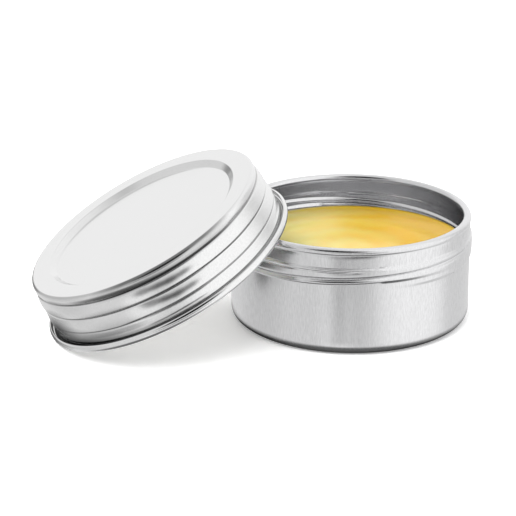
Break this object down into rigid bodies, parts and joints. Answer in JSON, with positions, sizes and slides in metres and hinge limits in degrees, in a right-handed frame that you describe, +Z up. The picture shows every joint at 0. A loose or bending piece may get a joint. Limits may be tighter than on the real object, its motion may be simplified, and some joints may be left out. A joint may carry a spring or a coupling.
{
  "type": "shoe polish tin",
  "caption": "Round screw-top aluminium tin filled with yellow wax shoe polish, its ribbed lid off and leaning on the rim.",
  "frame": {"origin": "centre of the can's flat base, on the surface the tin stands on", "axes": "+Z up along the can's axis; the lid leans towards -X, so the XZ plane is the plane of the lean and +X points from the lid to the can"},
  "size_m": [0.1107, 0.0666, 0.0426],
  "materials": {
    "aluminium_can": "drawn sheet, satin, faint upright grain",
    "wax_polish": "smooth cast wax, soft gloss",
    "aluminium_lid": "drawn sheet, satin with brighter rolled edges",
    "foam_liner": "white expanded polyethylene foam"
  },
  "bodies": {
    "can": {"tin_can": "aluminium_can", "polish": "wax_polish"},
    "liner": {"lid_liner": "foam_liner"},
    "lid": {"lid_shell": "aluminium_lid"}
  },
  "joints": [
    {"name": "lid_swing", "type": "hinge", "parent": "can", "child": "liner", "pos_m": [0.00159, 0, -0.07142], "axis": [0, 1, 0], "range_deg": [0, 28]},
    {"name": "lid_turn", "type": "hinge", "parent": "liner", "child": "lid", "pos_m": [-0.0463, 0, 0.01526], "axis": [-0.4695, 0, 0.8829], "continuous": true}
  ]
}
